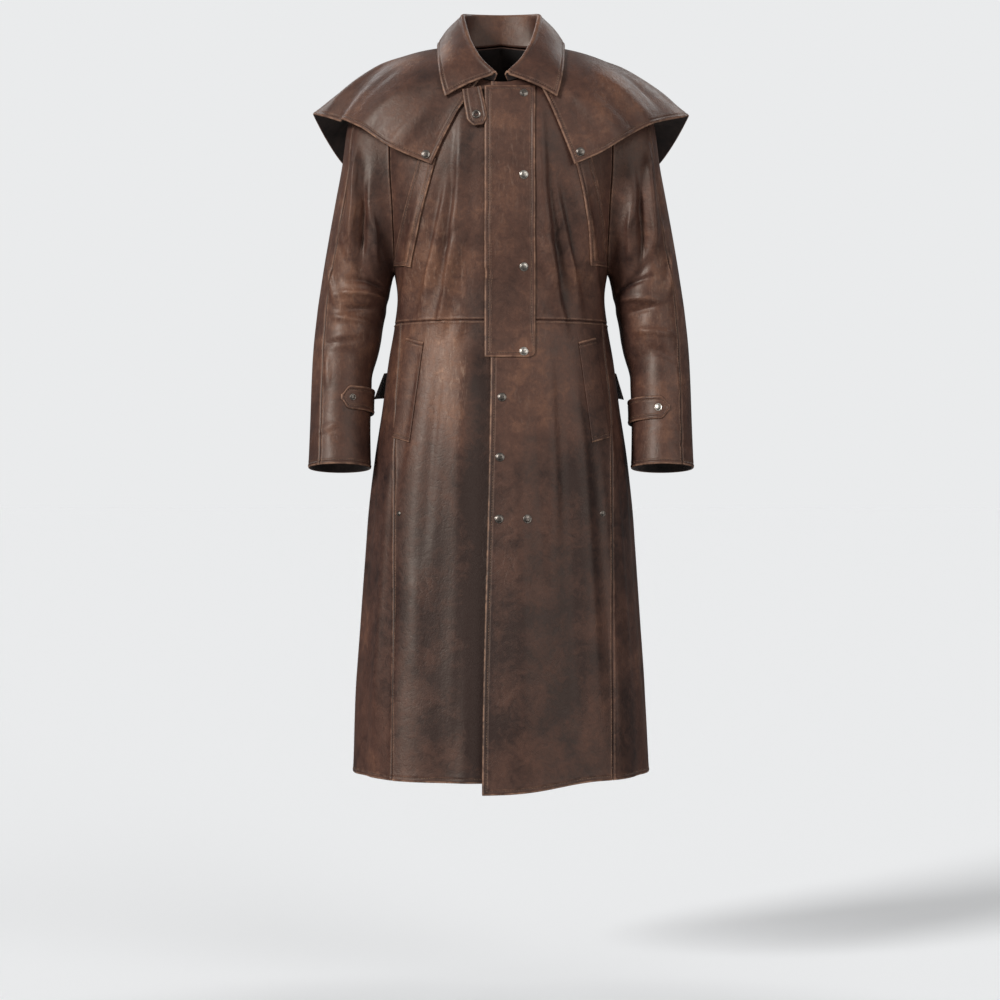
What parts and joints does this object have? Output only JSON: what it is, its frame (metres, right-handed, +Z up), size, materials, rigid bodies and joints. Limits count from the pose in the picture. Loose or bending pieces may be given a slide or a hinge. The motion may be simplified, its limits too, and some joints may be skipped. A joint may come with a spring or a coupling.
{
  "type": "leather duster coat",
  "caption": "Long leather duster coat with a shoulder cape, fold-down collar, snapped storm flap, strapped cuffs and slanted pockets, shaped as worn and hollow for its wearer.",
  "frame": {"origin": "middle of the neck opening, level with the inner ends of the shoulder seams, where the wearer's neck rises", "axes": "+Z up along the wearer's spine, front of the coat towards -Y, wearer's left towards +X"},
  "size_m": [0.637, 0.4116, 1.2908],
  "materials": {
    "dark_leather": "dark brown waxed cowhide, rubbed lighter along its edges",
    "trim_leather": "the same hide as narrow trim, more rubbed",
    "aged_nickel": "domed snap caps in dulled nickel plate"
  },
  "bodies": {
    "root": {"bodice_right_front": "dark_leather", "bodice_left_front": "dark_leather", "bodice_back": "dark_leather", "skirt_right_front": "dark_leather", "skirt_left_front": "dark_leather", "skirt_right_side": "dark_leather", "skirt_left_side": "dark_leather", "skirt_back": "dark_leather", "storm_flap": "dark_leather", "throat_tab": "dark_leather", "collar": "dark_leather", "cape": "dark_leather", "sleeve_right_front": "dark_leather", "sleeve_right_back": "dark_leather", "sleeve_left_front": "dark_leather", "sleeve_left_back": "dark_leather", "cuff_tab_right": "trim_leather", "cuff_tab_left": "trim_leather", "chest_band_right": "trim_leather", "chest_band_left": "trim_leather", "pocket_welt_right": "trim_leather", "pocket_welt_left": "trim_leather", "waist_strap_right": "trim_leather", "waist_strap_left": "trim_leather", "snap_flap_1": "aged_nickel", "snap_flap_2": "aged_nickel", "snap_flap_3": "aged_nickel", "snap_flap_4": "aged_nickel", "snap_front_1": "aged_nickel", "snap_front_2": "aged_nickel", "snap_front_3": "aged_nickel", "snap_front_4": "aged_nickel", "snap_side_right": "aged_nickel", "snap_side_left": "aged_nickel", "snap_cape_right": "aged_nickel", "snap_cape_left": "aged_nickel", "snap_cuff_right": "aged_nickel", "snap_cuff_left": "aged_nickel", "snap_throat_tab": "aged_nickel"}
  },
  "joints": []
}
